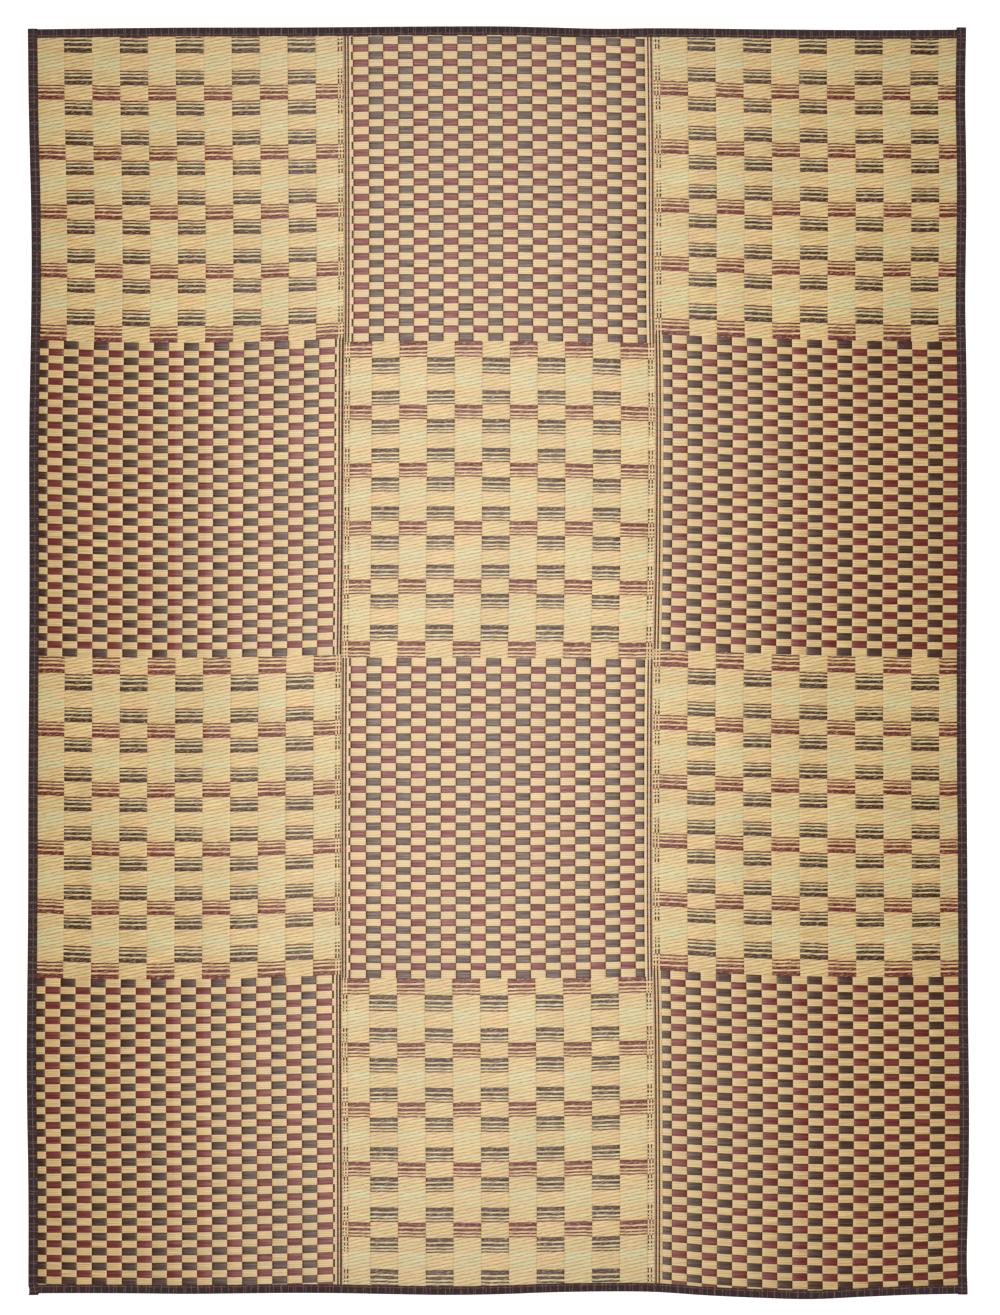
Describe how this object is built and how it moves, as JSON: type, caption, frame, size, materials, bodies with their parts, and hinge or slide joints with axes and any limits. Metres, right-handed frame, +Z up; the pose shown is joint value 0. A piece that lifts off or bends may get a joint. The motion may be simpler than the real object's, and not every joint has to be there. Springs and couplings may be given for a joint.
{
  "type": "rush rug",
  "caption": "Flat woven rush floor rug in joined widths of stripe and check blocks, edged all round with folded dark cloth tape.",
  "frame": {"origin": "middle of the whole rug's box, on the floor that it lies on", "axes": "+Z up from the floor, +Y along the rug towards its head edge, +X across the widths to the right"},
  "size_m": [2.6214, 3.5404, 0.0053],
  "materials": {
    "woven_rush": "dried rush woven in straw, wine red, near black and pale green, with a satin sheen across the stems",
    "binding_cloth": "matt dark brown cotton tape with a fine paler grid in the weave"
  },
  "bodies": {
    "root": {"width_left": "woven_rush", "width_middle": "woven_rush", "width_right": "woven_rush", "binding_left": "binding_cloth", "binding_right": "binding_cloth", "binding_head": "binding_cloth", "binding_foot": "binding_cloth"}
  },
  "joints": []
}
